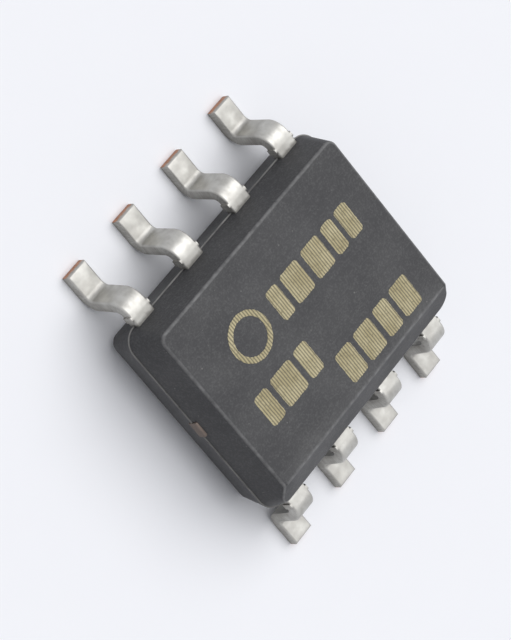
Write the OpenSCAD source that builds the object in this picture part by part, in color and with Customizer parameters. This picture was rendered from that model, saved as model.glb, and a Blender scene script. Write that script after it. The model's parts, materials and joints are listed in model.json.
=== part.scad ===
// Dual power transistor in an eight-lead small-outline package with gull-wing leads.
// X runs along the two rows of leads, Y across them and Z up. The origin is the middle of the
// footprint, on the plane that the lead feet stand on. Leads 1 to 4 stand along the -Y side,
// counted towards +X, and leads 5 to 8 along the +Y side, counted back towards -X.

/* [Moulded body] */
// Width across the lead rows, at the parting line
body_width = 3.9; // [3.4:0.05:4.6]
// Thickness from the bottom face to the top face
body_height = 1.45; // [1.2:0.05:1.75]
// Air gap between the bottom face and the seating plane
standoff = 0.175; // [0.1:0.005:0.25]
// From the middle of an outer lead to the end of the body
row_margin = 0.545; // [0.45:0.005:0.8]
// Draft of the side and end walls, in degrees
draft_angle = 12; // [5:1:15]
// Plan radius of the upright corners, where they reach the top face
corner_radius = 0.15; // [0.1:0.01:0.3]
// Small chamfer around the top and bottom faces
edge_break = 0.04; // [0.02:0.01:0.08]
// Ledge at the parting line, where the lower half stands out from the upper half
parting_ledge = 0.02; // [0.01:0.005:0.04]
// Width on the top face of the 45 degree bevel that marks the side of leads 1 to 4
bevel_width = 0.33; // [0.2:0.01:0.5]

/* [Leads] */
// Distance between the middles of neighbouring leads
pitch = 1.27; // [1:0.01:1.5]
// Width of a lead
lead_width = 0.42; // [0.31:0.01:0.51]
// Thickness of the lead frame's sheet
lead_thickness = 0.2; // [0.17:0.01:0.25]
// How far a lead reaches out from the body's side
lead_reach = 1.05; // [0.95:0.01:1.3]
// Length of a foot's flat underside
foot_length = 0.42; // [0.35:0.01:0.55]
// Inner radius of the two bends in a lead
bend_radius = 0.1; // [0.06:0.01:0.14]
// Slope of the riser between the two bends, in degrees from level
riser_angle = 84; // [75:1:90]
// How far a sheared dam bar stub stands out from each side of a lead
stub_height = 0.025; // [0.01:0.005:0.05]
// Length of a dam bar stub along the lead
stub_length = 0.1; // [0.06:0.01:0.14]
// From the body's side to a dam bar stub
stub_offset = 0.07; // [0.04:0.01:0.1]

/* [Lead frame inside the body] */
// Moulding compound between a die pad and the end of the body
end_cover = 0.3; // [0.25:0.01:0.4]
// Moulding compound between the inner lead frame and the sides of the body
side_cover = 0.45; // [0.3:0.01:0.6]
// Gap between the two die pads
pad_gap = 0.3; // [0.2:0.01:0.5]
// Gap between the die pads and the bond posts
post_gap = 0.25; // [0.2:0.01:0.4]
// Depth of a bond post, across the lead rows
post_depth = 0.5; // [0.4:0.01:0.6]
// Length of a gate lead's bond post
gate_post_length = 0.5; // [0.42:0.01:0.6]
// Gap between a source post and the gate post beside it
post_spacing = 0.25; // [0.2:0.01:0.4]
// Width of the tie bar that holds a die pad to the end of the body
tie_bar_width = 0.3; // [0.2:0.01:0.5]

/* [Dies] */
// Length of a die along the lead rows
die_length = 1.5; // [1.2:0.05:1.8]
// Width of a die across the lead rows
die_width = 1.5; // [1.2:0.05:1.8]
// Thickness of a die
die_thickness = 0.2; // [0.1:0.01:0.25]
// Thickness of the solder under a die
solder_thickness = 0.03; // [0.02:0.005:0.05]
// How far the solder shows around a die
solder_margin = 0.05; // [0.03:0.01:0.09]

/* [Bond wires] */
// Number of source wires on each die
source_wires = 4; // [2:1:4]
// Diameter of a source wire
source_wire_diameter = 0.05; // [0.03:0.005:0.06]
// Diameter of a gate wire
gate_wire_diameter = 0.04; // [0.025:0.005:0.06]
// Diameter of the ball that bonds a wire to its die
ball_diameter = 0.12; // [0.1:0.01:0.15]
// Height of that ball
ball_height = 0.03; // [0.02:0.005:0.05]
// Radius of the loop at the top of a wire
loop_radius = 0.16; // [0.12:0.01:0.18]
// From the edges of a die to the middle of a bond
bond_inset = 0.25; // [0.15:0.01:0.35]
// From the ends of a source post to the middle of a bond
post_inset = 0.15; // [0.1:0.01:0.2]
// Room that the gate bond takes along a die
gate_room = 0.5; // [0.4:0.01:0.6]

/* [Hidden] */
$fn = 48;
row_lead_count = 4; // leads along each side
bend_steps = 10; // straight steps in a bend's outline
cut = 2 * body_height; // length of a cutting solid, clear of the body
wire_root = lead_thickness / 4; // depth of a wire's room in the body below its two bonds
mold_black = [0.17, 0.17, 0.18];
tin = [0.80, 0.79, 0.76];
solder_grey = [0.55, 0.56, 0.58];
silicon = [0.32, 0.34, 0.40];
gold = [0.85, 0.68, 0.32];

// A length to the nearest micrometre, so that the pieces of the body's outside meet exactly
function micrometres(length) = round(1000 * length) / 1000;

// The body, whose parting plane is the middle of the lead frame's sheet
body_length = (row_lead_count - 1) * pitch + 2 * row_margin;
parting_z = micrometres(standoff + body_height / 2);
top_z = standoff + body_height;
wall_slope = tan(draft_angle);
wall_inset = micrometres(wall_slope * body_height / 2);
lower_radius = corner_radius + parting_ledge;
parting_radius = lower_radius + wall_inset;
corner_x = micrometres(body_length / 2 - parting_radius);
corner_y = micrometres(body_width / 2 - parting_radius);
bevel_y = body_width / 2 - parting_ledge - wall_inset - bevel_width;

// A lead's side view, with Y out from the body: level shoulder, bend, riser, bend and foot
frame_bottom = parting_z - lead_thickness / 2;
frame_top = parting_z + lead_thickness / 2;
bend_middle = bend_radius + lead_thickness / 2;
riser_drop = frame_bottom - 2 * bend_middle * (1 - cos(riser_angle));
bend_run = 2 * bend_middle * sin(riser_angle) + riser_drop / tan(riser_angle);
tip_y = body_width / 2 + lead_reach;
foot_y = tip_y - foot_length;
shoulder_y = foot_y - bend_run;

// The inner lead frame, the same height across both halves of the part
pad_inner_x = pad_gap / 2;
pad_outer_x = body_length / 2 - end_cover;
pad_length = pad_outer_x - pad_inner_x;
pad_top_y = body_width / 2 - side_cover;
post_bottom_y = side_cover - body_width / 2;
post_top_y = post_bottom_y + post_depth;
pad_bottom_y = post_top_y + post_gap;
pad_middle_y = (pad_top_y + pad_bottom_y) / 2;
post_middle_y = (post_top_y + post_bottom_y) / 2;

// The stack on a die pad
die_bottom = frame_top + solder_thickness;
die_top = die_bottom + die_thickness;
die_front_y = pad_middle_y - die_width / 2;

transistors = [1, 2];
wire_numbers = [1 : source_wires];

// Place along X of the lead n, counted from the -X end of its row
function lead_x(n) = (n - (row_lead_count + 1) / 2) * pitch;

// Places along X for the transistor t, which is 1 on the -X half and 2 on the +X half
function pad_left(t) = t == 1 ? -pad_outer_x : pad_inner_x;
function pad_middle(t) = pad_left(t) + pad_length / 2;
function die_left(t) = pad_middle(t) - die_length / 2;
function source_x(t) = lead_x(2 * t - 1);
function gate_x(t) = lead_x(2 * t);
function source_post_right(t) = gate_x(t) - gate_post_length / 2 - post_spacing;
function source_post_length(t) = source_post_right(t) - pad_left(t);

// Share of the way along a row of wires, from 0 at the first to 1 at the last
function along(i) = (i - 1) / (source_wires - 1);

// Points of an arc about c, from the angle a to the angle b
function arc(c, r, a, b) = [
    for (k = [0 : bend_steps])
        let (angle = a + (b - a) * k / bend_steps)
        c + r * [cos(angle), sin(angle)]
];

// Outline of a lead from the distance inner to its tip
function lead_outline(inner) =
    let (
        shoulder = [shoulder_y, frame_bottom - bend_radius],
        foot = [foot_y, lead_thickness + bend_radius],
        outside = bend_radius + lead_thickness,
        turn = riser_angle
    ) concat(
        [[inner, frame_top]],
        arc(shoulder, outside, 90, 90 - turn),
        arc(foot, bend_radius, 270 - turn, 270),
        [[tip_y, lead_thickness], [tip_y, 0]],
        arc(foot, outside, 270, 270 - turn),
        arc(shoulder, bend_radius, 90 - turn, 90),
        [[inner, frame_bottom]]
    );

// Half of the body's wall section, outwards from the middle of a corner's radius
module wall_profile() {
    polygon([
        [0, standoff],
        [lower_radius - edge_break, standoff],
        [lower_radius + edge_break * wall_slope, standoff + edge_break],
        [parting_radius, parting_z],
        [parting_radius - parting_ledge, parting_z],
        [corner_radius + edge_break * wall_slope, top_z - edge_break],
        [corner_radius - edge_break, top_z],
        [0, top_z]
    ]);
}

// Section of the body between its corners, as tall as the wall beside it
module core_section() {
    polygon([
        [-corner_x, standoff],
        [corner_x, standoff],
        [corner_x, top_z],
        [-corner_x, top_z]
    ]);
}

// Moulded outside: a block with drafted walls, rounded upright corners and the bevelled edge
module body_outside() {
    difference() {
        union() {
            rotate([90, 0, 0])
                linear_extrude(2 * corner_y, center = true) {
                    core_section();
                    translate([corner_x, 0]) wall_profile();
                    translate([-corner_x, 0]) mirror([1, 0]) wall_profile();
                }
            for (side = [0, 180])
                rotate([0, 0, side])
                    translate([0, corner_y, 0])
                        rotate([90, 0, 90])
                            linear_extrude(2 * corner_x, center = true) wall_profile();
            for (sx = [-1, 1], sy = [-1, 1])
                translate([sx * corner_x, sy * corner_y, 0])
                    rotate([0, 0, sx > 0 ? (sy > 0 ? 0 : 270) : (sy > 0 ? 90 : 180)])
                        rotate_extrude(angle = 90) wall_profile();
        }
        translate([-body_length / 2, -bevel_y, top_z])
            rotate([45, 0, 0])
                translate([0, -cut, 0]) cube([body_length, cut, cut]);
    }
}

// One lead on the +Y side from the distance inner to its tip, with its two dam bar stubs
module lead(inner) {
    rotate([90, 0, 90])
        linear_extrude(lead_width, center = true) polygon(lead_outline(inner));
    stub_x = lead_width / 2 + stub_height;
    stub_y = body_width / 2 + stub_offset;
    sheet(-stub_x, stub_x, stub_y, stub_y + stub_length);
}

// A flat piece of the lead frame's sheet, between two places along X and two along Y
module sheet(left, right, bottom, top) {
    translate([left, 0, 0])
        rotate([90, 0, 90])
            linear_extrude(right - left)
                polygon([
                    [bottom, frame_bottom],
                    [top, frame_bottom],
                    [top, frame_top],
                    [bottom, frame_top]
                ]);
}

// A lead on the -Y side, which runs into the middle of its bond post
module post_lead(x, left, right) {
    sheet(left, right, post_bottom_y, post_top_y);
    translate([x, 0, 0]) rotate([0, 0, 180]) lead(-post_middle_y);
}

// A wire that rises from its ball on the die, loops over and runs down to a bond post. Its room
// in the body has a root, which reaches into the die and the post that fill it
module bond_wire(from, to, diameter, root) {
    span = norm(to - from);
    start_z = die_top + ball_height / 2;
    drop = start_z - frame_top;
    run = sqrt((span - loop_radius) ^ 2 + drop ^ 2 - loop_radius ^ 2);
    exact_slope = atan2(drop, span - loop_radius) + atan2(loop_radius, run);
    slope = round(100 * exact_slope) / 100; // to a hundredth of a degree
    tail = (diameter + root) / tan(slope);
    translate([from.x, from.y, 0])
        rotate([0, 0, atan2(to.y - from.y, to.x - from.x)])
            difference() {
                union() {
                    translate([0, 0, die_top - root])
                        cylinder(d = ball_diameter, h = ball_height + root);
                    translate([loop_radius, 0, start_z]) rotate([0, slope, 0]) {
                        rotate([90, 0, 0])
                            rotate([0, 0, 90])
                                rotate_extrude(angle = 90 + slope)
                                    translate([loop_radius, 0]) circle(d = diameter);
                        translate([0, 0, loop_radius])
                            rotate([0, 90, 0]) cylinder(d = diameter, h = run + tail);
                    }
                }
                translate([span - cut / 2, -cut / 2, frame_top - root - cut]) cube(cut);
            }
}

// Both halves of the epoxy body, moulded in one shot around everything inside
module mold_body() {
    color(mold_black)
        difference() {
            body_outside();
            for (t = transistors) {
                drain_frame(t);
                source_lead(t);
                gate_lead(t);
                die_attach(t);
                die(t);
                gate_wire(t, wire_root);
                for (i = wire_numbers) source_wire(t, i, wire_root);
            }
        }
}

// Die pad with its two drain leads, and the tie bar along the body's middle line to the end wall
module drain_frame(t) {
    tie_left = t == 1 ? -body_length / 2 : pad_middle(t);
    tie_right = t == 1 ? pad_middle(t) : body_length / 2;
    color(tin) {
        sheet(pad_left(t), pad_left(t) + pad_length, pad_bottom_y, pad_top_y);
        sheet(tie_left, tie_right, -tie_bar_width / 2, tie_bar_width / 2);
        for (x = [source_x(t), gate_x(t)]) translate([x, 0, 0]) lead(pad_middle_y);
    }
}

// Source lead with its long bond post
module source_lead(t) {
    color(tin) post_lead(source_x(t), pad_left(t), source_post_right(t));
}

// Gate lead with its short bond post
module gate_lead(t) {
    color(tin)
        post_lead(gate_x(t), gate_x(t) - gate_post_length / 2, gate_x(t) + gate_post_length / 2);
}

// Solder between a die pad and its die
module die_attach(t) {
    color(solder_grey)
        translate([die_left(t) - solder_margin, die_front_y - solder_margin, frame_top])
            cube([die_length + 2 * solder_margin, die_width + 2 * solder_margin, solder_thickness]);
}

// Silicon transistor
module die(t) {
    color(silicon)
        translate([die_left(t), die_front_y, die_bottom])
            cube([die_length, die_width, die_thickness]);
}

// Wire from the gate corner of a die to its gate lead
module gate_wire(t, root = 0) {
    color(gold)
        bond_wire(
            [die_left(t) + die_length - bond_inset, die_front_y + bond_inset],
            [gate_x(t), post_middle_y],
            gate_wire_diameter,
            root
        );
}

// Wire i of the row that joins a die's source to its source lead
module source_wire(t, i, root = 0) {
    die_run = die_length - bond_inset - gate_room;
    post_run = source_post_length(t) - 2 * post_inset;
    color(gold)
        bond_wire(
            [die_left(t) + bond_inset + along(i) * die_run, die_front_y + bond_inset],
            [pad_left(t) + post_inset + along(i) * post_run, post_middle_y],
            source_wire_diameter,
            root
        );
}

mold_body();
for (t = transistors) {
    drain_frame(t);
    source_lead(t);
    gate_lead(t);
    die_attach(t);
    die(t);
    gate_wire(t);
    for (i = wire_numbers)
        source_wire(t, i);
}
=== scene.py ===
import json
import math
import bmesh
import bpy
import numpy as np
from mathutils import Matrix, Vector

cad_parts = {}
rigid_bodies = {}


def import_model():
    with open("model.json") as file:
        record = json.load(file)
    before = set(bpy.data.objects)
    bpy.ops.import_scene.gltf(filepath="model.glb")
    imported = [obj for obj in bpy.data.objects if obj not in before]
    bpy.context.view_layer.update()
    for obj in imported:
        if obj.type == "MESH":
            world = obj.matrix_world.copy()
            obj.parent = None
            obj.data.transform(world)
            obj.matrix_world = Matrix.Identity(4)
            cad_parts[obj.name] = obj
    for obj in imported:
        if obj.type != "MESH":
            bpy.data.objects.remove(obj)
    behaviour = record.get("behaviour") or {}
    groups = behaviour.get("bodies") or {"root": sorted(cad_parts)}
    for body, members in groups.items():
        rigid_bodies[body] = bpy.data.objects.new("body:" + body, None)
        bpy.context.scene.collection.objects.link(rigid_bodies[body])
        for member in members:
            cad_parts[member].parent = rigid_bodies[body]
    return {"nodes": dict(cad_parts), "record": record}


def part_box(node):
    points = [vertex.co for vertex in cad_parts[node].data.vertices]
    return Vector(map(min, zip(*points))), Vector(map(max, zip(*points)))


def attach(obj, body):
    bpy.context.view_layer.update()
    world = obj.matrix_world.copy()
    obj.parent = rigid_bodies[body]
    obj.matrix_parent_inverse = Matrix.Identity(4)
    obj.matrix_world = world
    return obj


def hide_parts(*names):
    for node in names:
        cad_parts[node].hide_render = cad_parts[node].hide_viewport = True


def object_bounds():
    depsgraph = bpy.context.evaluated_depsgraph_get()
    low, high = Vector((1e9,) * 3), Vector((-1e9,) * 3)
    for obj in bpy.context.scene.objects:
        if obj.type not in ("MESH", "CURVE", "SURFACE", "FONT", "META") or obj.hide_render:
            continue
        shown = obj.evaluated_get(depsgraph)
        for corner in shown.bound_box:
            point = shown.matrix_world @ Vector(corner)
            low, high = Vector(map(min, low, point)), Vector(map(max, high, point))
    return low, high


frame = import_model()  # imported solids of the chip, in metres
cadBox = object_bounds()
mm = 0.001  # sizes below are in millimetres
weldGap = 1e-5  # points closer than this are one
print("frame loaded:", len(frame["nodes"]), "nodes")


# Low and high corner of a CAD node, in millimetres
def nodeBox(node):
    low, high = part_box(node)
    return np.array(low) / mm, np.array(high) / mm


# Quads of a grid with the given rows and columns; a closed grid joins its last column to its first
def gridQuads(rows, columns, closed=False):
    index = np.arange(rows * columns).reshape(rows, columns)
    if closed:
        index = np.concatenate([index, index[:, :1]], axis=1)
    corners = [index[:-1, :-1], index[:-1, 1:], index[1:, 1:], index[1:, :-1]]
    return np.stack(corners, axis=-1).reshape(-1, 4)


# One mesh piece from grid patches: points in millimetres, quads, and a value per point for each attribute.
# Points that coincide are welded, so seams and poles close, and the faces are then turned outwards.
def makePiece(name, patches, material, node=None, sharpAngle=40):
    start = np.cumsum([0] + [len(patch["points"]) for patch in patches])
    points = np.concatenate([patch["points"] for patch in patches]) * mm
    quads = np.concatenate([patch["quads"] + first for patch, first in zip(patches, start)])
    mesh = bpy.data.meshes.new(name)
    mesh.from_pydata(points.tolist(), [], quads.tolist())
    for key in patches[0].get("values", {}):
        values = np.concatenate([patch["values"][key] for patch in patches]).astype(np.float32)
        kind, field = ("FLOAT", "value") if values.ndim == 1 else ("FLOAT_VECTOR", "vector")
        mesh.attributes.new(key, kind, "POINT").data.foreach_set(field, values.ravel())
    shape = bmesh.new()
    shape.from_mesh(mesh)
    bmesh.ops.remove_doubles(shape, verts=shape.verts, dist=weldGap * mm)
    bmesh.ops.recalc_face_normals(shape, faces=shape.faces)
    shape.to_mesh(mesh)
    shape.free()
    mesh.shade_smooth()
    mesh.set_sharp_from_angle(angle=math.radians(sharpAngle))
    mesh.materials.append(material)
    piece = bpy.data.objects.new(name, mesh)
    bpy.context.scene.collection.objects.link(piece)
    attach(piece, "root")
    if node:
        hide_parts(node)
    return piece


# Shader helpers

# Adds a node; settings are its properties, inputs its sockets by name or number
def addNode(tree, kind, inputs=None, **settings):
    node = tree.nodes.new(kind)
    for key, value in settings.items():
        setattr(node, key, value)
    for key, value in (inputs or {}).items():
        if isinstance(value, bpy.types.NodeSocket):
            tree.links.new(value, node.inputs[key])
        else:
            node.inputs[key].default_value = value
    return node


def linear(red, green, blue):  # a colour as a picture shows it, 0 to 255, made linear
    value = np.array([red, green, blue]) / 255
    return (*np.where(value > 0.04045, ((value + 0.055) / 1.055) ** 2.4, value / 12.92), 1)


def calc(tree, operation, first, second=0.0):  # one math operation on two values
    return addNode(tree, "ShaderNodeMath", {0: first, 1: second}, operation=operation).outputs[0]


def times(tree, first, second):
    return calc(tree, "MULTIPLY", first, second)


# Carries a value from one range to another and stops at its ends
def remap(tree, value, low, high, toLow=0.0, toHigh=1.0):
    return addNode(tree, "ShaderNodeMapRange", {
        "Value": value, "From Min": low, "From Max": high, "To Min": toLow, "To Max": toHigh}).outputs[0]


# Noise with blotches of a size in mm, which is a number or a group's input
def noise(tree, vector, size, detail=3.0, roughness=0.55):
    scale = calc(tree, "DIVIDE", 1.0, size) if isinstance(size, bpy.types.NodeSocket) else 1 / size
    return addNode(tree, "ShaderNodeTexNoise", {
        "Vector": vector, "Scale": scale, "Detail": detail, "Roughness": roughness}).outputs[0]


def mixColour(tree, factor, first, second):
    return addNode(tree, "ShaderNodeMix", {0: factor, 6: first, 7: second}, data_type="RGBA").outputs[2]


# Lays a share of a paint over a colour where a mask is 1
def tint(tree, colour, mask, share, paint):
    return mixColour(tree, times(tree, mask, share), colour, paint)


def objectMillimetres(tree):  # place on the object
    coords = addNode(tree, "ShaderNodeTexCoord").outputs["Object"]
    return addNode(tree, "ShaderNodeMapping", {"Vector": coords, "Scale": (1 / mm,) * 3}).outputs[0]


def surfaceValue(tree, name, output="Fac"):  # an attribute that the mesh carries
    return addNode(tree, "ShaderNodeAttribute", attribute_name=name).outputs[output]


# A new material: its tree and its Principled shader, with the constants set on the shader's own sockets
def newMaterial(name, constants):
    material = bpy.data.materials.new(name)
    material.use_nodes = True
    tree = material.node_tree
    shader = tree.nodes["Principled BSDF"]
    for key, value in constants.items():
        shader.inputs[key].default_value = value
    return material, tree, shader


# Feeds the shader a colour, a roughness and, where a height is given, a bump of a depth in mm
def dress(tree, shader, colour, rough, height=None, strength=0.0, depth=0.0):
    tree.links.new(colour, shader.inputs["Base Color"])
    tree.links.new(rough, shader.inputs["Roughness"])
    if height is not None:
        bump = addNode(tree, "ShaderNodeBump", {
            "Height": height, "Strength": strength, "Distance": depth * mm})
        tree.links.new(bump.outputs[0], shader.inputs["Normal"])


# A new node group: its tree, its input sockets and its output sockets; an input without a value is a vector
def newGroup(name, inputs, outputs):
    tree = bpy.data.node_groups.new(name, "ShaderNodeTree")
    for key, value in inputs.items():
        kind = "NodeSocketVector" if value is None else "NodeSocketFloat"
        socket = tree.interface.new_socket(key, in_out="INPUT", socket_type=kind)
        if value is not None:
            socket.default_value = value
    for key in outputs:
        tree.interface.new_socket(key, in_out="OUTPUT", socket_type="NodeSocketFloat")
    return tree, addNode(tree, "NodeGroupInput").outputs, addNode(tree, "NodeGroupOutput").inputs


def useGroup(tree, group, inputs):
    return addNode(tree, "ShaderNodeGroup", inputs, node_tree=group).outputs


# Effects that several finishes share

effects = dict(
    noiseRoughness=0.5,
    coarseRatio=2.7, coarseShare=0.3,  # coarse pits among the fine ones
    mottleRange=(0.35, 0.65),
    speckSpacing=2.5,  # in grains
    speckReach=0.2, speckSoft=0.06, speckChance=(0.8, 0.95),
    # edge values lay rubbed wear and a painted highlight
    edgeRange=(0.3, 0.7), edgeLeast=0.35,  # an edge never loses its rub altogether
    smearRange=(0.4, 0.7),
    scratchTurn=0.6, scratchStretch=0.06, scratchRange=(0.62, 0.75),
)


# Matte grain of a surface: fine pits over coarser ones, slow mottling, and sparse specks of mixed size
def grainGroup():
    tree, given, result = newGroup(
        "matteGrain", {"Vector": None, "Grain": 0.03, "Mottle": 0.4}, ["Height", "Mottle", "Speck"])
    place, roughness, share = given["Vector"], effects["noiseRoughness"], effects["coarseShare"]
    fine = noise(tree, place, given["Grain"], 3, roughness)
    coarse = noise(tree, place, times(tree, given["Grain"], effects["coarseRatio"]), 2, roughness)
    pits = calc(tree, "ADD", times(tree, fine, 1 - share), times(tree, coarse, share))
    tree.links.new(pits, result["Height"])
    slow = noise(tree, place, given["Mottle"], 4, roughness)
    tree.links.new(remap(tree, slow, *effects["mottleRange"]), result["Mottle"])
    scale = calc(tree, "DIVIDE", 1 / effects["speckSpacing"], given["Grain"])
    cells = addNode(tree, "ShaderNodeTexVoronoi", {"Vector": place, "Scale": scale})
    chance = addNode(tree, "ShaderNodeSeparateColor", {0: cells.outputs["Color"]}).outputs
    reach = times(tree, chance[1], effects["speckReach"])
    core = remap(tree, calc(tree, "SUBTRACT", reach, cells.outputs["Distance"]), 0.0, effects["speckSoft"])
    tree.links.new(times(tree, remap(tree, chance[0], *effects["speckChance"]), core), result["Speck"])
    return tree


# Rubbed edges with a painted highlight along them: an edge value from the mesh, broken up by noise
def rubHighlightGroup():
    tree, given, result = newGroup("rubAndHighlight", {"Vector": None, "Edge": 0.0, "Breakup": 0.12}, ["Mask"])
    uneven = noise(tree, given["Vector"], given["Breakup"], 4, effects["noiseRoughness"])
    broken = remap(tree, uneven, *effects["edgeRange"], effects["edgeLeast"], 1.0)
    tree.links.new(times(tree, given["Edge"], broken), result["Mask"])
    return tree


# Handling: soft smears, and short fine scratches from noise that is drawn out one way
def handlingGroup():
    tree, given, result = newGroup(
        "handling", {"Vector": None, "Smear": 0.5, "Scratch": 0.02}, ["Smear", "Scratch"])
    smears = noise(tree, given["Vector"], given["Smear"], 2, effects["noiseRoughness"])
    tree.links.new(remap(tree, smears, *effects["smearRange"]), result["Smear"])
    drawn = addNode(tree, "ShaderNodeMapping", {
        "Vector": given["Vector"], "Rotation": (0, 0, effects["scratchTurn"]),
        "Scale": (effects["scratchStretch"], 1, 1)}).outputs[0]
    lines = noise(tree, drawn, given["Scratch"], 2, effects["noiseRoughness"])
    tree.links.new(remap(tree, lines, *effects["scratchRange"]), result["Scratch"])
    return tree


grain, rubAndHighlight, handling = grainGroup(), rubHighlightGroup(), handlingGroup()


# Grain, handling, and rubbed edges with their painted highlight, of one finish, with the sizes that its
# dictionary gives
def grainOf(tree, place, look):
    return useGroup(tree, grain, {"Vector": place, "Grain": look["grain"], "Mottle": look["mottle"]})


def handlingOf(tree, place, look):
    return useGroup(tree, handling, {
        "Vector": place, "Smear": look["smear"], "Scratch": look["scratchWidth"]})


def edgeOf(tree, place, value, breakup):
    edge = surfaceValue(tree, value)
    return useGroup(tree, rubAndHighlight, {"Vector": place, "Edge": edge, "Breakup": breakup})["Mask"]


print("shader groups ready")


# Moulded body

body = dict(
    draft=12.0,  # degrees
    topCorner=0.15,  # plan radius of the upright corners at the top
    ledge=0.02,  # lower half stands out by this at the parting line
    lip=0.004, lipSupport=0.02,  # small flat at the ledge's edge, and a level below it
    fillet=0.055,  # rounding of the top and bottom edges
    bevelWidth=0.33,  # on the top face, along leads 1 to 4
    bevelFillet=0.06,
    support=0.015,  # loop beside a rounding that keeps the flats flat
    inner=0.06,  # corner radius at which the lid and the bottom begin
    arcSteps=12, filletSteps=7, sideSteps=24,
    creaseReach=(0.06, 0.04), creaseColumns=13, creaseWidth=0.03,  # about the line where the bevel begins
    plainY=-1.2, plainFrom=0.1, plainColumns=9, cornerGap=0.05,  # other columns of the end walls
    # broken mould gate on the +X end
    scarY=-0.55, scarZ=0.66, scarHalf=(0.3, 0.1), scarRise=0.03, scarSlope=0.03, scarLeast=0.7, scarSeed=5,
    scarReach=0.45, scarColumns=37, scarLevels=(0.2, 0.6), scarSteps=13,
    # ejector mark: distance beyond its radius, depth and edge value of each ring; the edge value lays rub and
    # a painted highlight on the rim
    ejectorRadius=0.6,
    ejectorRings=((0.12, 0, 0), (0.012, 0, 0.4), (0.003, 0.004, 1), (-0.004, 0.021, 0.4),
                  (-0.014, 0.025, 0), (-0.1, 0.025, 0), (-0.3, 0.025, 0), (-0.6, 0.025, 0)),
)
bodyLow, bodyHigh = nodeBox("mold_body")
draft = math.radians(body["draft"])
parting = (bodyLow[2] + bodyHigh[2]) / 2
overhang = (parting - bodyLow[2]) * math.tan(draft)  # of the parting line over the bottom
lowerReach = body["topCorner"] + body["ledge"] + overhang  # of the parting line from the corners' centres
upperReach = lowerReach - body["ledge"]
cornerX, cornerY = bodyHigh[0] - lowerReach, bodyHigh[1] - lowerReach
bevelY = bodyHigh[1] - body["ledge"] - overhang - body["bevelWidth"]  # the bevel begins at -bevelY


# Height of the top at a place along Y: level, then an arc, then the 45 degree bevel towards -Y
def lidHeight(y):
    top, radius = bodyHigh[2], body["bevelFillet"]
    arcStart = -bevelY + radius * math.tan(math.pi / 8)
    arcReach = radius * math.sin(math.pi / 4)
    bend = np.clip(arcStart - y, 0, arcReach)
    rounded = top - radius + np.sqrt(radius ** 2 - bend ** 2)
    return np.where(y > arcStart - arcReach, rounded, top + bevelY + y)


# Centre of the rounding between a wall and a lid in a column's own upright plane: where the two lines cross
# once both are moved in by the radius. The wall passes through (wallOut, wallZ) with its normal at wallTurn,
# the lid through (0, lidZ) with its normal at lidTurn.
def filletCentre(wallOut, wallZ, wallTurn, lidZ, lidTurn):
    a, b, c, d = np.cos(wallTurn), np.sin(wallTurn), np.cos(lidTurn), np.sin(lidTurn)
    wallReach = a * wallOut + b * wallZ - body["fillet"]
    lidReach = d * lidZ - body["fillet"]
    spread = a * d - b * c
    return (wallReach * d - b * lidReach) / spread, (a * lidReach - c * wallReach) / spread


# Broken gate: a low rectangular block on the end wall. Its rise is the distance in from its edges over the
# width of their slope, at most 1, times a chance height at each point.
def gateScar(ring):
    y, z = ring[..., 1] - body["scarY"], ring[..., 2] - body["scarZ"]
    edgeY = np.clip((body["scarHalf"][0] - np.abs(y)) / body["scarSlope"], 0, 1)
    edgeZ = np.clip((body["scarHalf"][1] - np.abs(z)) / body["scarSlope"], 0, 1)
    chips = np.random.default_rng(body["scarSeed"]).random(y.shape)
    return edgeY * edgeZ * (body["scarLeast"] + (1 - body["scarLeast"]) * chips)


# Columns round the outline, each with a middle and an outward direction: up the +X end from -Y to +Y, along
# the +Y side, down the -X end and along the -Y side. Close columns carry the bevel's crease and the gate
# scar. The last value is the number of columns of one end.
def bodyColumns():
    turn = np.linspace(-math.pi / 2, 0, body["arcSteps"] + 1)
    before, after = body["creaseReach"]
    crease = np.linspace(-bevelY - before, -bevelY + after, body["creaseColumns"])
    scarEnds = body["scarY"] - body["scarReach"], body["scarY"] + body["scarReach"]
    straight = np.concatenate([
        [-cornerY + body["cornerGap"]], crease, [body["plainY"]], np.linspace(*scarEnds, body["scarColumns"]),
        np.linspace(body["plainFrom"], cornerY - body["cornerGap"], body["plainColumns"])])
    endY = np.concatenate([np.full(len(turn), -cornerY), straight, np.full(len(turn), cornerY)])
    endX = np.full(len(endY), cornerX)
    facing = np.concatenate([turn, 0 * straight, turn + math.pi / 2])
    sideX = np.linspace(cornerX, -cornerX, body["sideSteps"] + 1)[1:-1]
    middleX = np.concatenate([endX, sideX, -endX, sideX[::-1]])
    middleY = np.concatenate([endY, 0 * sideX + cornerY, endY[::-1], 0 * sideX - cornerY])
    outX = np.concatenate([np.cos(facing), 0 * sideX, -np.cos(facing[::-1]), 0 * sideX])
    outY = np.concatenate([np.sin(facing), 0 * sideX + 1, np.sin(facing[::-1]), 0 * sideX - 1])
    return middleX, middleY, outX, outY, len(endY)


# Reach and height of the levels up to the parting line, the same on every column: bottom, rounding, drafted
# wall, lip, ledge, and a first level above it
def lowerLevels():
    near, bottom = body["support"], bodyLow[2]
    rise = np.array([math.sin(draft), math.cos(draft)])
    middle = np.array(filletCentre(lowerReach, parting, -draft, bottom, -math.pi / 2))
    bend = np.linspace(-math.pi / 2, -draft, body["filletSteps"])
    rounding = middle + body["fillet"] * np.stack([np.cos(bend), np.sin(bend)], axis=-1)
    steps = np.append(near, np.linspace(*body["scarLevels"], body["scarSteps"]))
    lips = np.array([body["lipSupport"], body["lip"]])
    return np.concatenate([
        [(body["inner"], bottom), (middle[0] - near, bottom)],
        rounding,
        rounding[-1] + steps[:, None] * rise,
        (lowerReach, parting) - lips[:, None] * rise,
        [(lowerReach - body["lip"], parting), (upperReach, parting)],
        [(upperReach - near * rise[0], parting + near * rise[1])]])


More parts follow.
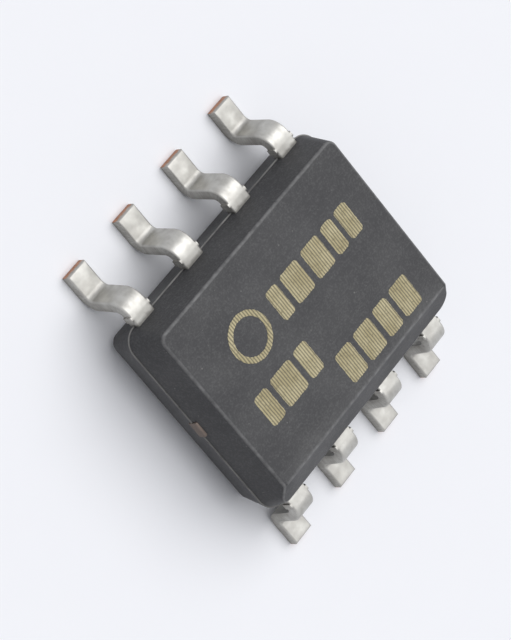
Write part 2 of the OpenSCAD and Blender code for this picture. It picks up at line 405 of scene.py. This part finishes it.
# Reach and height of the levels from the upper wall over the rounding to the lid, on each column. The bevel
# lowers the lid and lets it fall away outwards.
def upperLevels(middleY, outY):
    near = body["support"]
    lidZ = lidHeight(middleY)
    lidSlope = np.where(middleY < -bevelY, np.minimum(outY, 0), 0)
    lidTurn = math.pi / 2 + np.arctan(lidSlope)
    middleOut, middleZ = filletCentre(upperReach, parting, draft, lidZ, lidTurn)
    bend = draft + (lidTurn - draft) * np.linspace(0, 1, body["filletSteps"])[:, None]
    reach = middleOut + body["fillet"] * np.cos(bend)
    height = middleZ + body["fillet"] * np.sin(bend)
    reach = np.concatenate([
        [reach[0] + near * math.sin(draft)], reach, [reach[-1] - near, body["inner"] + 0 * lidZ]])
    height = np.concatenate([
        [height[0] - near * math.cos(draft)], height,
        [height[-1] - near * lidSlope, lidZ + body["inner"] * lidSlope]])
    return reach, height


# Lid: straight rows between the mirrored columns of the two ends. Its edge value, which carries a painted
# highlight, is a bell curve across the line where the bevel begins.
def lidPatch(right, left):
    across = np.linspace(0, 1, body["sideSteps"] + 1)[None, :, None]
    rows = right[:, None] + (left - right)[:, None] * across
    crease = np.exp(-((rows[..., 1] + bevelY) / body["creaseWidth"]) ** 2).ravel()
    return dict(points=rows.reshape(-1, 3), quads=gridQuads(*rows.shape[:2]),
                values=dict(edge=crease, seamHighlight=0 * crease, scar=0 * crease))


# Bottom: rings from the outline to a circle, then down the ejector mark's wall to its middle
def bottomPatch(outline):
    angle = np.arctan2(outline[:, 1], outline[:, 0])
    beyond, depth, edge = np.array(body["ejectorRings"], float).T[..., None]
    radius = body["ejectorRadius"] + beyond
    circles = np.stack(np.broadcast_arrays(
        radius * np.cos(angle), radius * np.sin(angle), bodyLow[2] + depth), axis=-1)
    rings = np.concatenate([outline[None], circles])
    rim = np.repeat(np.append(0, edge), len(angle))
    return dict(points=rings.reshape(-1, 3), quads=gridQuads(len(rings), len(angle), closed=True),
                values=dict(edge=rim, seamHighlight=0 * rim, scar=0 * rim))


# The body's skin: columns run round the outline, levels run up a column. A point is the column's middle plus
# its outward direction times the level's reach, at the level's height.
def bodySkin():
    middleX, middleY, outX, outY, endColumns = bodyColumns()
    columns, steps = len(middleX), body["filletSteps"]
    lower = np.repeat(lowerLevels().T[..., None], columns, axis=-1)
    reach, height = np.concatenate([lower, upperLevels(middleY, outY)], axis=1)
    ring = np.stack([middleX + outX * reach, middleY + outY * reach, height], axis=-1)
    scar = gateScar(ring) * (outX > 0)
    ring[..., 0] += body["scarRise"] * scar

    # values for the material: rub and a painted highlight on the two roundings, and a painted highlight along
    # the parting line from the lip to the upper wall
    edge, seamHighlight = np.zeros(len(reach)), np.zeros(len(reach))
    edge[2:2 + steps] = edge[-2 - steps:-2] = np.sin(np.linspace(0, math.pi, steps))
    above = lower.shape[1] - 1  # first level above the ledge
    # the parting line's levels carry a painted highlight
    seamHighlight[above - 3:above] = 1
    walls = dict(points=ring.reshape(-1, 3), quads=gridQuads(len(reach), columns, closed=True),
                 values=dict(edge=np.repeat(edge, columns), seamHighlight=np.repeat(seamHighlight, columns), scar=scar.ravel()))
    right = ring[-1, :endColumns]
    left = ring[-1, columns // 2:columns // 2 + endColumns][::-1]
    return [walls, lidPatch(right, left), bottomPatch(ring[0])]


epoxyLook = dict(
    ior=1.5,
    grain=0.034, mottle=0.8, smear=0.9, scratchWidth=0.02, edgeBreakup=0.1, seamBreakup=0.25,
    dark=linear(53, 53, 55), light=linear(63, 63, 64),
    pitRange=(0.62, 0.38), peakRange=(0.5, 0.68),  # of the grain's height
    # share and colour of each layer over the mottling: pit is painted shade in the grain's hollows, peak a
    # painted highlight on its tops, edge rubbed wear with a painted highlight, seam a painted highlight along
    # the parting line
    pitShade=(0.48, linear(34, 34, 36)), peakHighlight=(0.32, linear(92, 92, 92)), speck=(0.45, linear(128, 127, 124)),
    scratch=(0.2, linear(96, 96, 97)), edge=(0.62, linear(140, 140, 140)), seamHighlight=(0.7, linear(156, 155, 152)),
    scar=(0.3, linear(112, 111, 109)),
    roughness=(0.64, 0.54),  # plain and smeared
    edgePolish=0.12, scarRough=0.25, scratchDeep=-0.12, bumpStrength=0.5, bumpDepth=0.012,
)


# Epoxy: two near blacks mottled together, with painted shade in the grain's pits, a painted highlight on its
# peaks, pale specks, rubbed edges that also carry a painted highlight, and a painted highlight along the
# parting line
def epoxyMaterial():
    look = epoxyLook
    material, tree, shader = newMaterial("mouldedEpoxy", {"IOR": look["ior"]})
    place = objectMillimetres(tree)
    skin, touch = grainOf(tree, place, look), handlingOf(tree, place, look)
    edgeRubHighlight = edgeOf(tree, place, "edge", look["edgeBreakup"])
    seamHighlight = edgeOf(tree, place, "seamHighlight", look["seamBreakup"])
    scar = surfaceValue(tree, "scar")
    colour = mixColour(tree, skin["Mottle"], look["dark"], look["light"])
    # painted shade in the grain's pits, and a painted highlight on its peaks
    colour = tint(tree, colour, remap(tree, skin["Height"], *look["pitRange"]), *look["pitShade"])
    colour = tint(tree, colour, remap(tree, skin["Height"], *look["peakRange"]), *look["peakHighlight"])
    colour = tint(tree, colour, skin["Speck"], *look["speck"])
    colour = tint(tree, colour, touch["Scratch"], *look["scratch"])
    # rubbed edges with a painted highlight along the roundings, the bevel's crease and the ejector mark's rim
    colour = tint(tree, colour, edgeRubHighlight, *look["edge"])
    # painted highlight along the parting line
    colour = tint(tree, colour, seamHighlight, *look["seamHighlight"])
    colour = tint(tree, colour, scar, *look["scar"])
    rough = remap(tree, touch["Smear"], 0, 1, *look["roughness"])
    rough = calc(tree, "SUBTRACT", rough, times(tree, edgeRubHighlight, look["edgePolish"]))
    rough = calc(tree, "ADD", rough, times(tree, scar, look["scarRough"]))
    height = calc(tree, "ADD", skin["Height"], times(tree, touch["Scratch"], look["scratchDeep"]))
    dress(tree, shader, colour, rough, height, look["bumpStrength"], look["bumpDepth"])
    return material


bodyPiece = makePiece(
    "moulded_body", bodySkin(), epoxyMaterial(), "mold_body", sharpAngle=35)
print("body:", len(bodyPiece.data.polygons), "faces")


# Lead frame

leadFrame = dict(
    width=0.42, thickness=0.2, bendRadius=0.1, riserAngle=84.0, footLength=0.42,
    stubHeight=0.025, stubLength=0.1, stubOffset=0.07,  # sheared dam bar beside each lead
    endCover=0.3, sideCover=0.45, tieBarWidth=0.3, postDepth=0.5,
    topRoll=0.035, bottomRoll=0.014,  # rounding of the sheared edges on the punch side and the die side
    bendSteps=14, riserSteps=5, footSteps=4, rollSteps=5,
    cellShare=0.45,  # most that a rounding takes of the next cell
    decimals=5,  # to which grid lines are told apart
    drainLeads={1: (7, 8), 2: (5, 6)},  # of each half of the chip
)
feet = {mount["name"]: np.array(mount["pos_m"]) / mm for mount in frame["record"]["mounts"]}
gateLow, gateHigh = nodeBox("gate_lead_1")
sheetTop, tipY = gateHigh[2], -gateLow[1]


# Where along a lead's middle line each part ends: shoulder, first bend, riser, second bend and foot. The drop
# gives the riser, and the shoulder is what the other parts leave of the reach.
def leadStations():
    half = leadFrame["thickness"] / 2
    radius = leadFrame["bendRadius"] + half
    turn = math.radians(leadFrame["riserAngle"])
    drop = sheetTop - 2 * half - 2 * radius * (1 - math.cos(turn))
    riser = drop / math.sin(turn)
    shoulder = tipY - leadFrame["footLength"] - 2 * radius * math.sin(turn) - riser * math.cos(turn)
    lengths = [shoulder, radius * turn, riser, radius * turn, leadFrame["footLength"]]
    return np.cumsum(lengths), radius, turn


stations, bendMiddle, bendTurn = leadStations()


# Bends flat sheet points (x, along, up) into the gull wing: level, an arc down, a straight riser, an arc out
# and the level foot. A point keeps its height over the middle line, square to it.
def bendSheet(flat):
    shoulder, firstBend, riser, secondBend = stations[:4]
    radius, turn = bendMiddle, bendTurn
    x, s, t = flat.T
    level = sheetTop - leadFrame["thickness"] / 2
    a = (s - shoulder) / radius
    b = turn - (s - riser) / radius
    riserY, riserZ = shoulder + radius * math.sin(turn), level - radius + radius * math.cos(turn)
    footY = riserY + (riser - firstBend) * math.cos(turn) + radius * math.sin(turn)
    footZ = riserZ - (riser - firstBend) * math.sin(turn) + radius * math.cos(turn)
    parts = [s <= shoulder, s <= firstBend, s <= riser, s <= secondBend]
    y = np.select(parts, [
        s, shoulder + (radius + t) * np.sin(a),
        riserY + (s - firstBend) * math.cos(turn) + t * math.sin(turn),
        footY - (radius - t) * np.sin(b)], footY + s - secondBend)
    z = np.select(parts, [
        level + t, level - radius + (radius + t) * np.cos(a),
        riserZ - (s - firstBend) * math.sin(turn) + t * math.cos(turn),
        footZ - (radius - t) * np.cos(b)], footZ - radius + t)
    return np.stack([x, y, z], axis=-1)


# Inset and height of the rings of a sheared rim, from the bottom up: a small arc, the upright wall and a
# larger arc
def rimRings():
    half, top, bottom = leadFrame["thickness"] / 2, leadFrame["topRoll"], leadFrame["bottomRoll"]
    a = np.linspace(0, math.pi / 2, leadFrame["rollSteps"])
    inset = np.concatenate([bottom * (1 - np.sin(a)), top * (1 - np.cos(a))])
    up = np.concatenate([bottom * (1 - np.cos(a)) - half, half - top * (1 - np.sin(a))])
    return inset, up


# Room for the rounding on each grid line: the cell behind it where the outside is ahead, else the cell ahead
def cellRoom(lines, normal):
    cells = np.diff(lines)
    behind, ahead = np.append(cells[0], cells), np.append(cells, cells[-1])
    return leadFrame["cellShare"] * np.where(normal > 0, behind, ahead)


# A stamped sheet from rectangles (x from, x to, along from, along to): the grid cells that they cover get a
# top, a bottom and, at the edge of the covered area, a rolled rim, whose rings are drawn in by their inset
def stampedSheet(rectangles, extraLines):
    rectangles = np.array(rectangles)
    xLines = np.unique(rectangles[:, :2].round(leadFrame["decimals"]))
    sLines = np.append(rectangles[:, 2:], extraLines)
    sLines = np.unique(sLines.round(leadFrame["decimals"]))
    cellX, cellS = (xLines[1:, None] + xLines[:-1, None]) / 2, (sLines[1:] + sLines[:-1]) / 2
    xFrom, xTo, sFrom, sTo = rectangles.T[..., None, None]
    covered = ((xFrom < cellX) & (cellX < xTo) & (sFrom < cellS) & (cellS < sTo)).any(0)
    pad = np.pad(covered, 1).astype(int)
    stepX, stepS = pad[:-1] - pad[1:], pad[:, :-1] - pad[:, 1:]  # 1 where the outside is ahead, -1 behind
    normalX = np.clip(stepX[:, :-1] + stepX[:, 1:], -1, 1)
    normalS = np.clip(stepS[:-1] + stepS[1:], -1, 1)
    inset, up = (ring[:, None, None] for ring in rimRings())
    insetX = np.minimum(inset, cellRoom(xLines, normalX.T).T) * normalX
    insetS = np.minimum(inset, cellRoom(sLines, normalS)) * normalS
    points = np.stack(np.broadcast_arrays(xLines[:, None] - insetX, sLines - insetS, up), axis=-1)
    index = np.arange(points.size // 3).reshape(points.shape[:3])
    cells = np.stack([index[:, :-1, :-1], index[:, 1:, :-1], index[:, 1:, 1:], index[:, :-1, 1:]], axis=-1)
    faces = [cells[0][covered], cells[-1][covered]]
    for edges, ends in ((stepX[:, 1:-1] != 0, (index[:, :, :-1], index[:, :, 1:])),
                        (stepS[1:-1] != 0, (index[:, :-1], index[:, 1:]))):
        one, two = ends[0][:, edges], ends[1][:, edges]
        faces.append(np.stack([one[:-1], two[:-1], two[1:], one[1:]], axis=-1).reshape(-1, 4))
    used, faces = np.unique(np.concatenate(faces), return_inverse=True)
    wall = np.broadcast_to(inset == 0, points.shape[:3])  # rings on the upright wall
    return points.reshape(-1, 3)[used], faces.reshape(-1, 4), wall.ravel()[used].astype(float)


# Rectangles of one lead from an inner place to its tip, with its dam bar stubs
def leadRectangles(x, inner):
    half, stub = leadFrame["width"] / 2, leadFrame["width"] / 2 + leadFrame["stubHeight"]
    near = bodyHigh[1] + leadFrame["stubOffset"]
    return [(x - half, x + half, inner, stations[-1]),
            (x - stub, x + stub, near, near + leadFrame["stubLength"])]


# A piece of the frame: the stamped sheet, bent, on the +Y or the -Y side
def leadPiece(node, rectangles, side):
    counts = (leadFrame["bendSteps"], leadFrame["riserSteps"], leadFrame["bendSteps"], leadFrame["footSteps"])
    lines = np.concatenate([
        np.linspace(start, end, count + 1) for start, end, count in zip(stations, stations[1:], counts)])
    flat, faces, wall = stampedSheet(rectangles, lines)
    patch = dict(points=bendSheet(flat) * (1, side, 1), quads=faces, values=dict(sheet=flat, side=wall))
    return makePiece(node + "_formed", [patch], tin, node)


# Drain frame of one half: die pad, tie bar and two leads of the +Y row
def drainFrame(number):
    node = "drain_frame_%d" % number
    low, high = nodeBox(node)
    outward = -1 if number == 1 else 1  # towards the end of the body
    padInner, padOuter = min(abs(low[0]), abs(high[0])), bodyHigh[0] - leadFrame["endCover"]
    padHigh = bodyHigh[1] - leadFrame["sideCover"]
    padMiddle = (padInner + padOuter) / 2
    tieHalf = leadFrame["tieBarWidth"] / 2
    rectangles = [(*sorted([padInner * outward, padOuter * outward]), low[1], padHigh),
                  (*sorted([padMiddle * outward, bodyHigh[0] * outward]), -tieHalf, tieHalf)]
    for lead in leadFrame["drainLeads"][number]:
        rectangles += leadRectangles(feet["lead_%d_foot" % lead][0], (low[1] + padHigh) / 2)
    leadPiece(node, rectangles, 1)


# Source or gate lead of the -Y row, with its bond post
def postLead(node, lead):
    low, high = nodeBox(node)
    inner, outer = -high[1], -high[1] + leadFrame["postDepth"]
    leadBars = leadRectangles(feet["lead_%d_foot" % lead][0], (inner + outer) / 2)
    leadPiece(node, [(low[0], high[0], inner, outer), *leadBars], -1)


tinLook = dict(
    grain=0.016, mottle=0.2, smear=0.26, scratchWidth=0.012,
    dark=linear(167, 165, 160), light=linear(185, 184, 179),
    # share and colour of each layer over the mottling
    smeared=(0.5, linear(150, 148, 143)), speck=(0.35, linear(128, 126, 122)),
    sheared=(0.45, linear(128, 125, 119)), torn=(0.4, linear(136, 133, 127)),
    rubbed=(0.4, linear(196, 195, 190)), resin=(0.6, linear(72, 70, 66)),
    shearLine=0.012, shearStretch=0.05, shearRange=(0.4, 0.65),  # fine lines through the thickness
    tornRange=(-0.01, -0.06),  # up from the sheet's middle
    rubReach=(0.22, 0.08),  # along the lead, from the middle of the first bend
    rubBlotch=0.09, rubRange=(0.35, 0.6),
    # bare copper: depth of the cut faces, and tin dragged over the upper part of the tip
    tipDepth=0.004, tieDepth=0.05, dragBlotch=0.05, dragWaver=0.14, dragRange=(0.07, 0.12),
    copperBlotch=0.03, copperDark=linear(158, 112, 86), copperLight=linear(196, 150, 122),
    copperShear=(0.6, linear(126, 88, 68)), tieEnd=(0.88, linear(106, 103, 99)),
    resinRange=(-0.005, -0.055), resinInner=-0.1,  # out from the body's side
    resinBlotch=0.08, resinWaver=0.07,
    roughness=(0.46, 0.57),  # plain and smeared
    shearRough=0.1, rubPolish=0.06, scratchDeep=-0.4, shearDeep=0.6, bumpStrength=0.35, bumpDepth=0.004,
)


# Bare copper: its colour, and a mask for the cut faces of the tip and of the tie bar, which is dull
def copperCut(tree, sheet, along, shear):
    look = tinLook
    cutTip = calc(tree, "GREATER_THAN", along["Y"], stations[-1] - look["tipDepth"])
    cutTie = calc(tree, "GREATER_THAN", calc(tree, "ABSOLUTE", along["X"]), bodyHigh[0] - look["tieDepth"])
    waver = times(tree, noise(tree, sheet, look["dragBlotch"]), look["dragWaver"])
    dragged = remap(tree, calc(tree, "ADD", along["Z"], waver), *look["dragRange"])
    bare = calc(tree, "MAXIMUM", cutTie, times(tree, cutTip, calc(tree, "SUBTRACT", 1.0, dragged)))
    blotches = noise(tree, sheet, look["copperBlotch"])
    copper = mixColour(tree, blotches, look["copperDark"], look["copperLight"])
    copper = tint(tree, copper, shear, *look["copperShear"])
    return tint(tree, copper, cutTie, *look["tieEnd"]), bare


# Film of resin where the lead leaves the body
def resinFilm(tree, sheet, along):
    look, wall = tinLook, bodyHigh[1]
    waver = times(tree, noise(tree, sheet, look["resinBlotch"], 2), look["resinWaver"])
    crept = calc(tree, "SUBTRACT", along["Y"], waver)
    outside = calc(tree, "GREATER_THAN", along["Y"], wall + look["resinInner"])
    return times(tree, remap(tree, crept, *(wall + limit for limit in look["resinRange"])), outside)


# Matte tin, on the sheet's places from before it was bent, so that the grain follows the bends
def tinMaterial():
    look = tinLook
    material, tree, shader = newMaterial("matteTin", {"Metallic": 1.0})
    sheet = surfaceValue(tree, "sheet", "Vector")
    along = addNode(tree, "ShaderNodeSeparateXYZ", {0: sheet}).outputs
    side = surfaceValue(tree, "side")
    skin, touch = grainOf(tree, sheet, look), handlingOf(tree, sheet, look)
    colour = mixColour(tree, skin["Mottle"], look["dark"], look["light"])
    colour = tint(tree, colour, touch["Smear"], *look["smeared"])
    colour = tint(tree, colour, skin["Speck"], *look["speck"])
    # sheared sides, with a torn band near the die side
    lines = addNode(tree, "ShaderNodeMapping", {
        "Vector": sheet, "Scale": (1, 1, look["shearStretch"])}).outputs[0]
    shear = times(tree, side, remap(tree, noise(tree, lines, look["shearLine"]), *look["shearRange"]))
    colour = tint(tree, colour, shear, *look["sheared"])
    colour = tint(tree, colour, times(tree, side, remap(tree, along["Z"], *look["tornRange"])), *look["torn"])
    # forming tools leave the outer bend rubbed bright
    bend = calc(tree, "ABSOLUTE", calc(tree, "SUBTRACT", along["Y"], (stations[0] + stations[1]) / 2))
    blotches = remap(tree, noise(tree, sheet, look["rubBlotch"]), *look["rubRange"])
    rubbed = times(tree, remap(tree, bend, *look["rubReach"]), blotches)
    colour = tint(tree, colour, rubbed, *look["rubbed"])
    copper, bare = copperCut(tree, sheet, along, shear)
    colour = mixColour(tree, bare, colour, copper)
    colour = tint(tree, colour, resinFilm(tree, sheet, along), *look["resin"])
    rough = remap(tree, touch["Smear"], 0, 1, *look["roughness"])
    rough = calc(tree, "ADD", rough, times(tree, shear, look["shearRough"]))
    rough = calc(tree, "SUBTRACT", rough, times(tree, rubbed, look["rubPolish"]))
    height = calc(tree, "ADD", skin["Height"], times(tree, touch["Scratch"], look["scratchDeep"]))
    height = calc(tree, "ADD", height, times(tree, shear, look["shearDeep"]))
    dress(tree, shader, colour, rough, height, look["bumpStrength"], look["bumpDepth"])
    return material


tin = tinMaterial()
for number in leadFrame["drainLeads"]:  # the two halves of the chip
    drainFrame(number)
    postLead("source_lead_%d" % number, 2 * number - 1)
    postLead("gate_lead_%d" % number, 2 * number)
print("lead frame: 6 formed pieces")


# Dies, solder and wires inside the body keep their CAD shapes

solderLook = dict(
    grain=0.02, mottle=0.15, dark=linear(150, 152, 156), light=linear(182, 183, 186),
    heightRange=(0.3, 0.7), roughness=(0.3, 0.5), bumpStrength=0.4, bumpDepth=0.004,
)
siliconLook = dict(
    metallic=0.6, smear=0.4, scratchWidth=0.01,
    cellWidth=0.12, cellHeight=0.06, cellGap=0.006,  # rows of transistor cells
    dark=linear(86, 90, 104), light=linear(98, 102, 114), gap=linear(40, 42, 50),
    smeared=(0.3, linear(70, 74, 96)), roughness=(0.2, 0.34),
)
goldLook = dict(
    smear=0.1, scratchWidth=0.006, dark=linear(232, 190, 96), light=linear(246, 208, 122),
    roughness=(0.2, 0.36),  # plain and in the drawing lines
)


def solderMaterial():  # dull grey with a fine grain
    look = solderLook
    material, tree, shader = newMaterial("softSolder", {"Metallic": 1.0})
    skin = grainOf(tree, objectMillimetres(tree), look)
    colour = mixColour(tree, skin["Mottle"], look["dark"], look["light"])
    rough = remap(tree, skin["Height"], *look["heightRange"], *look["roughness"])
    dress(tree, shader, colour, rough, skin["Height"], look["bumpStrength"], look["bumpDepth"])
    return material


def siliconMaterial():  # rows of cells under soft smears
    look = siliconLook
    material, tree, shader = newMaterial("transistorSilicon", {"Metallic": look["metallic"]})
    place = objectMillimetres(tree)
    touch = handlingOf(tree, place, look)
    cells = addNode(tree, "ShaderNodeTexBrick", {
        "Vector": place, "Scale": 1.0, "Color1": look["dark"], "Color2": look["light"], "Mortar": look["gap"],
        "Mortar Size": look["cellGap"], "Brick Width": look["cellWidth"], "Row Height": look["cellHeight"]})
    colour = tint(tree, cells.outputs["Color"], touch["Smear"], *look["smeared"])
    dress(tree, shader, colour, remap(tree, touch["Smear"], 0, 1, *look["roughness"]))
    return material


def goldMaterial():  # rougher along the drawing lines
    look = goldLook
    material, tree, shader = newMaterial("drawnGold", {"Metallic": 1.0})
    touch = handlingOf(tree, objectMillimetres(tree), look)
    colour = mixColour(tree, touch["Smear"], look["dark"], look["light"])
    dress(tree, shader, colour, remap(tree, touch["Scratch"], 0, 1, *look["roughness"]))
    return material


gold = goldMaterial()
inside = {"die_attach": solderMaterial(), "die": siliconMaterial(), "gate_wire": gold, "source_wire": gold}
for name, node in frame["nodes"].items():
    kinds = [kind for kind in inside if name.startswith(kind + "_")]
    if kinds:
        node.data.materials.clear()
        node.data.materials.append(inside[max(kinds, key=len)])
print("inside: dies, solder and wires have their finishes")


# Laser mark: plain rounded fields in three rows, and a ring

mark = dict(
    height=0.58, corner=0.07, thickness=0.003, arcSteps=8, edgeSteps=144,
    waves=((0.047, 0.0015), (0.083, 0.002), (0.19, 0.0025)),  # length and height of the burnt edge's waves
    stroke=0.1,  # wall of the ring
    rows={  # middle along Y: middle along X and width of each field
        0.63: ((-0.28, 0.28), (0.18, 0.44), (0.74, 0.44), (1.20, 0.28), (1.58, 0.30)),
        -0.37: ((-1.58, 0.32), (-1.06, 0.52), (-0.54, 0.32)),
        -0.99: ((0.02, 0.40), (0.54, 0.44), (1.04, 0.36), (1.54, 0.44)),
    },
    ring=(-1.06, 0.65, 0.42),  # middle along X and Y, and outer radius
    # levels of a field and of the ring: share of the outline or of the stroke, and height
    fieldLevels=((0, 1), (0.7, 1), (0.97, 1), (1, 0.4), (1, -1), (0, -1)),
    ringLevels=((0, 1), (0.04, 1), (0.96, 1), (1, 1), (1, -1), (0, -1), (0, 1)),
)


# Unevenness of a burnt edge: three sines of the length along it, whose waves don't keep step
def burntEdge(length):
    return sum(height * np.sin(2 * math.pi * length / wave) for wave, height in mark["waves"])


# Share and height of a section's levels, one row each
def markLevels(key):
    share, up = np.array(mark[key]).T[..., None]
    return share, up * mark["thickness"] + bodyHigh[2]


# A closed band of the mark from its points along X and Y and their heights
def markPatch(x, y, z):
    points = np.stack(np.broadcast_arrays(x, y, z), axis=-1)
    return dict(points=points.reshape(-1, 3), quads=gridQuads(*points.shape[:2], closed=True))


# Rounded field: four corner arcs joined by straights, read off at even lengths, moved out by the burnt edge,
# then drawn in to the middle and down the thin wall
def markField(x, y, width):
    steps, corner = mark["arcSteps"], mark["corner"]
    turn = np.linspace(0, 2 * math.pi, 4 * steps + 1)[:-1]
    outX = np.repeat([1, -1, -1, 1], steps) * (width / 2 - corner) + corner * np.cos(turn)
    outY = np.repeat([1, 1, -1, -1], steps) * (mark["height"] / 2 - corner) + corner * np.sin(turn)
    outX, outY = np.append(outX, outX[0]), np.append(outY, outY[0])
    length = np.append(0, np.cumsum(np.hypot(np.diff(outX), np.diff(outY))))
    even = np.linspace(0, length[-1], mark["edgeSteps"] + 1)[:-1]
    outX, outY = np.interp(even, length, outX), np.interp(even, length, outY)
    swell = 1 + burntEdge(even + x) / np.hypot(outX, outY)
    share, z = markLevels("fieldLevels")
    return markPatch(x + share * swell * outX, y + share * swell * outY, z)


# Ring: a thin rectangular section turned about its middle, both edges burnt
def markRing(x, y, radius):
    turn = np.linspace(0, 2 * math.pi, mark["edgeSteps"] + 1)[:-1]
    share, z = markLevels("ringLevels")
    reach = radius - mark["stroke"] * share + (1 - 2 * share) * burntEdge(radius * turn)
    return markPatch(x + reach * np.cos(turn), y + reach * np.sin(turn), z)


markLook = dict(
    ior=1.45, grain=0.03, mottle=0.3, dark=linear(176, 165, 128), light=linear(198, 188, 152),
    # the laser's scan lines, with gaps between them
    scanPitch=0.05, scanBend=0.6, scanRange=(0.7, 0.15), scanGap=(0.68, linear(78, 75, 67)),
    burntRange=(0.52, 0.7), burnt=(0.6, linear(100, 93, 76)),
    heightRange=(0.3, 0.7), roughness=(0.75, 0.9), bumpStrength=0.3, bumpDepth=0.004,
)


# Burnt epoxy: two tans mottled together, with the laser's scan lines and a darker grain
def markMaterial():
    look = markLook
    material, tree, shader = newMaterial("laserTan", {"IOR": look["ior"]})
    place = objectMillimetres(tree)
    skin = grainOf(tree, place, look)
    # the Wave node's waves are 2 pi / 20 long at a scale of 1
    waveScale = 2 * math.pi / 20 / look["scanPitch"]
    scan = addNode(tree, "ShaderNodeTexWave", {
        "Vector": place, "Scale": waveScale, "Distortion": look["scanBend"], "Detail": 1.0},
        bands_direction="X").outputs["Fac"]
    colour = mixColour(tree, skin["Mottle"], look["dark"], look["light"])
    colour = tint(tree, colour, remap(tree, scan, *look["scanRange"]), *look["scanGap"])
    colour = tint(tree, colour, remap(tree, skin["Height"], *look["burntRange"]), *look["burnt"])
    rough = remap(tree, skin["Height"], *look["heightRange"], *look["roughness"])
    dress(tree, shader, colour, rough, scan, look["bumpStrength"], look["bumpDepth"])
    return material


fields = [markField(x, y, width) for y, row in mark["rows"].items() for x, width in row]
fields.append(markRing(*mark["ring"]))
makePiece("laser_mark", fields, markMaterial())
print("mark:", len(fields), "fields")


# Floor, light and camera

studio = dict(
    floorRings=(0.0, 8.0, 30.0, 120.0, 400.0), floorSides=64,
    floorDrop=0.003,  # below the feet, so that the two faces don't share a plane
    floorColour=linear(244, 245, 249),
    floorFleck=linear(232, 233, 238), fleckSize=0.8, fleckRange=(0.3, 0.7), fleckShare=0.04,
    floorRoughness=0.9, floorSheen=0.1,
    ambient=0.4,  # world light on the object
    keyFrom=(0.35, 0.12, 0.93), keyStrength=2.14, keyAngle=70.0,
    azimuth=228.0, elevation=56.0, roll=87.0,  # the photograph's view of the chip
    lens=150.0, viewHeight=10.2,  # height of the picture at the chip
    aim=(-0.47, 0.0),  # the picture's middle from the chip's middle, right and up
    clip=(1.0, 1000.0),  # nearest and farthest that the camera sees
)


# Floor finish: pale with faint flecks, and clear from behind, to bounced light and to a view that has come up
# through it
def floorMaterial():
    material, tree, shader = newMaterial(
        "paleFloor", {"Roughness": studio["floorRoughness"], "Specular IOR Level": studio["floorSheen"]})
    flecks = noise(tree, objectMillimetres(tree), studio["fleckSize"])
    share = remap(tree, flecks, *studio["fleckRange"], 0.0, studio["fleckShare"])
    colour = mixColour(tree, share, studio["floorColour"], studio["floorFleck"])
    tree.links.new(colour, shader.inputs["Base Color"])
    clear = addNode(tree, "ShaderNodeBsdfTransparent").outputs[0]
    behind = addNode(tree, "ShaderNodeNewGeometry").outputs["Backfacing"]
    path = addNode(tree, "ShaderNodeLightPath").outputs
    through = calc(tree, "GREATER_THAN", path["Transparent Depth"], 0.5)
    passes = calc(tree, "MAXIMUM", calc(tree, "MAXIMUM", behind, path["Is Diffuse Ray"]), through)
    surface = addNode(tree, "ShaderNodeMixShader", {0: passes, 1: shader.outputs[0], 2: clear})
    tree.links.new(surface.outputs[0], tree.nodes["Material Output"].inputs["Surface"])
    return material


# Floor: a flat disc, rings of growing radius about the origin
def makeFloor():
    turn = np.linspace(0, 2 * math.pi, studio["floorSides"] + 1)[:-1]
    radius = np.array(studio["floorRings"])[:, None]
    points = np.stack(np.broadcast_arrays(
        radius * np.cos(turn), radius * np.sin(turn), -studio["floorDrop"]), axis=-1)
    quads = gridQuads(len(radius), len(turn), closed=True)[:, ::-1]
    mesh = bpy.data.meshes.new("floor")
    mesh.from_pydata((points.reshape(-1, 3) * mm).tolist(), [], quads.tolist())
    mesh.materials.append(floorMaterial())
    floor = bpy.data.objects.new("floor", mesh)
    bpy.context.scene.collection.objects.link(floor)


# Light: one broad sun, and a world that is white to the camera and in reflections and dimmer on the object
def makeLight():
    world = bpy.data.worlds.new("studio")
    bpy.context.scene.world = world
    world.use_nodes = True
    tree = world.node_tree
    seen = addNode(tree, "ShaderNodeLightPath").outputs
    shows = calc(tree, "MAXIMUM", calc(tree, "MAXIMUM", seen["Is Camera Ray"], seen["Is Glossy Ray"]),
                 seen["Is Transmission Ray"])
    background = tree.nodes["Background"]
    background.inputs["Color"].default_value = studio["floorColour"]
    tree.links.new(remap(tree, shows, 0, 1, studio["ambient"], 1.0), background.inputs["Strength"])
    key = bpy.data.lights.new("key", "SUN")
    key.energy = studio["keyStrength"]
    key.angle = math.radians(studio["keyAngle"])
    lamp = bpy.data.objects.new("key", key)
    bpy.context.scene.collection.objects.link(lamp)
    back = np.array(studio["keyFrom"]) / np.linalg.norm(studio["keyFrom"])
    lamp.rotation_euler = (math.acos(back[2]), 0, math.atan2(back[0], -back[1]))


# Camera: back along azimuth and elevation, with right and up turned by the roll about the view
def makeCamera():
    a, e, r = (math.radians(studio[key]) for key in ("azimuth", "elevation", "roll"))
    back = np.array([math.sin(a) * math.cos(e), -math.cos(a) * math.cos(e), math.sin(e)])
    level = np.array([math.cos(a), math.sin(a), 0])
    rise = np.cross(back, level)
    right = level * math.cos(r) + rise * math.sin(r)
    up = rise * math.cos(r) - level * math.sin(r)
    camera = bpy.data.cameras.new("camera")
    camera.lens = studio["lens"]
    camera.clip_start, camera.clip_end = (limit * mm for limit in studio["clip"])
    distance = studio["viewHeight"] / (camera.sensor_width / camera.lens)
    middle = (np.array(cadBox[0]) + np.array(cadBox[1])) / 2
    aside, above = studio["aim"]
    seat = middle + (back * distance + right * aside + up * above) * mm
    holder = bpy.data.objects.new("camera", camera)
    bpy.context.scene.collection.objects.link(holder)
    pose = np.eye(4)
    pose[:3] = np.stack([right, up, back, seat], axis=-1)
    holder.matrix_world = Matrix(pose.tolist())
    bpy.context.scene.camera = holder


makeFloor()
makeLight()
makeCamera()
bpy.context.scene.view_settings.view_transform = "Standard"
print("floor, light and camera set")
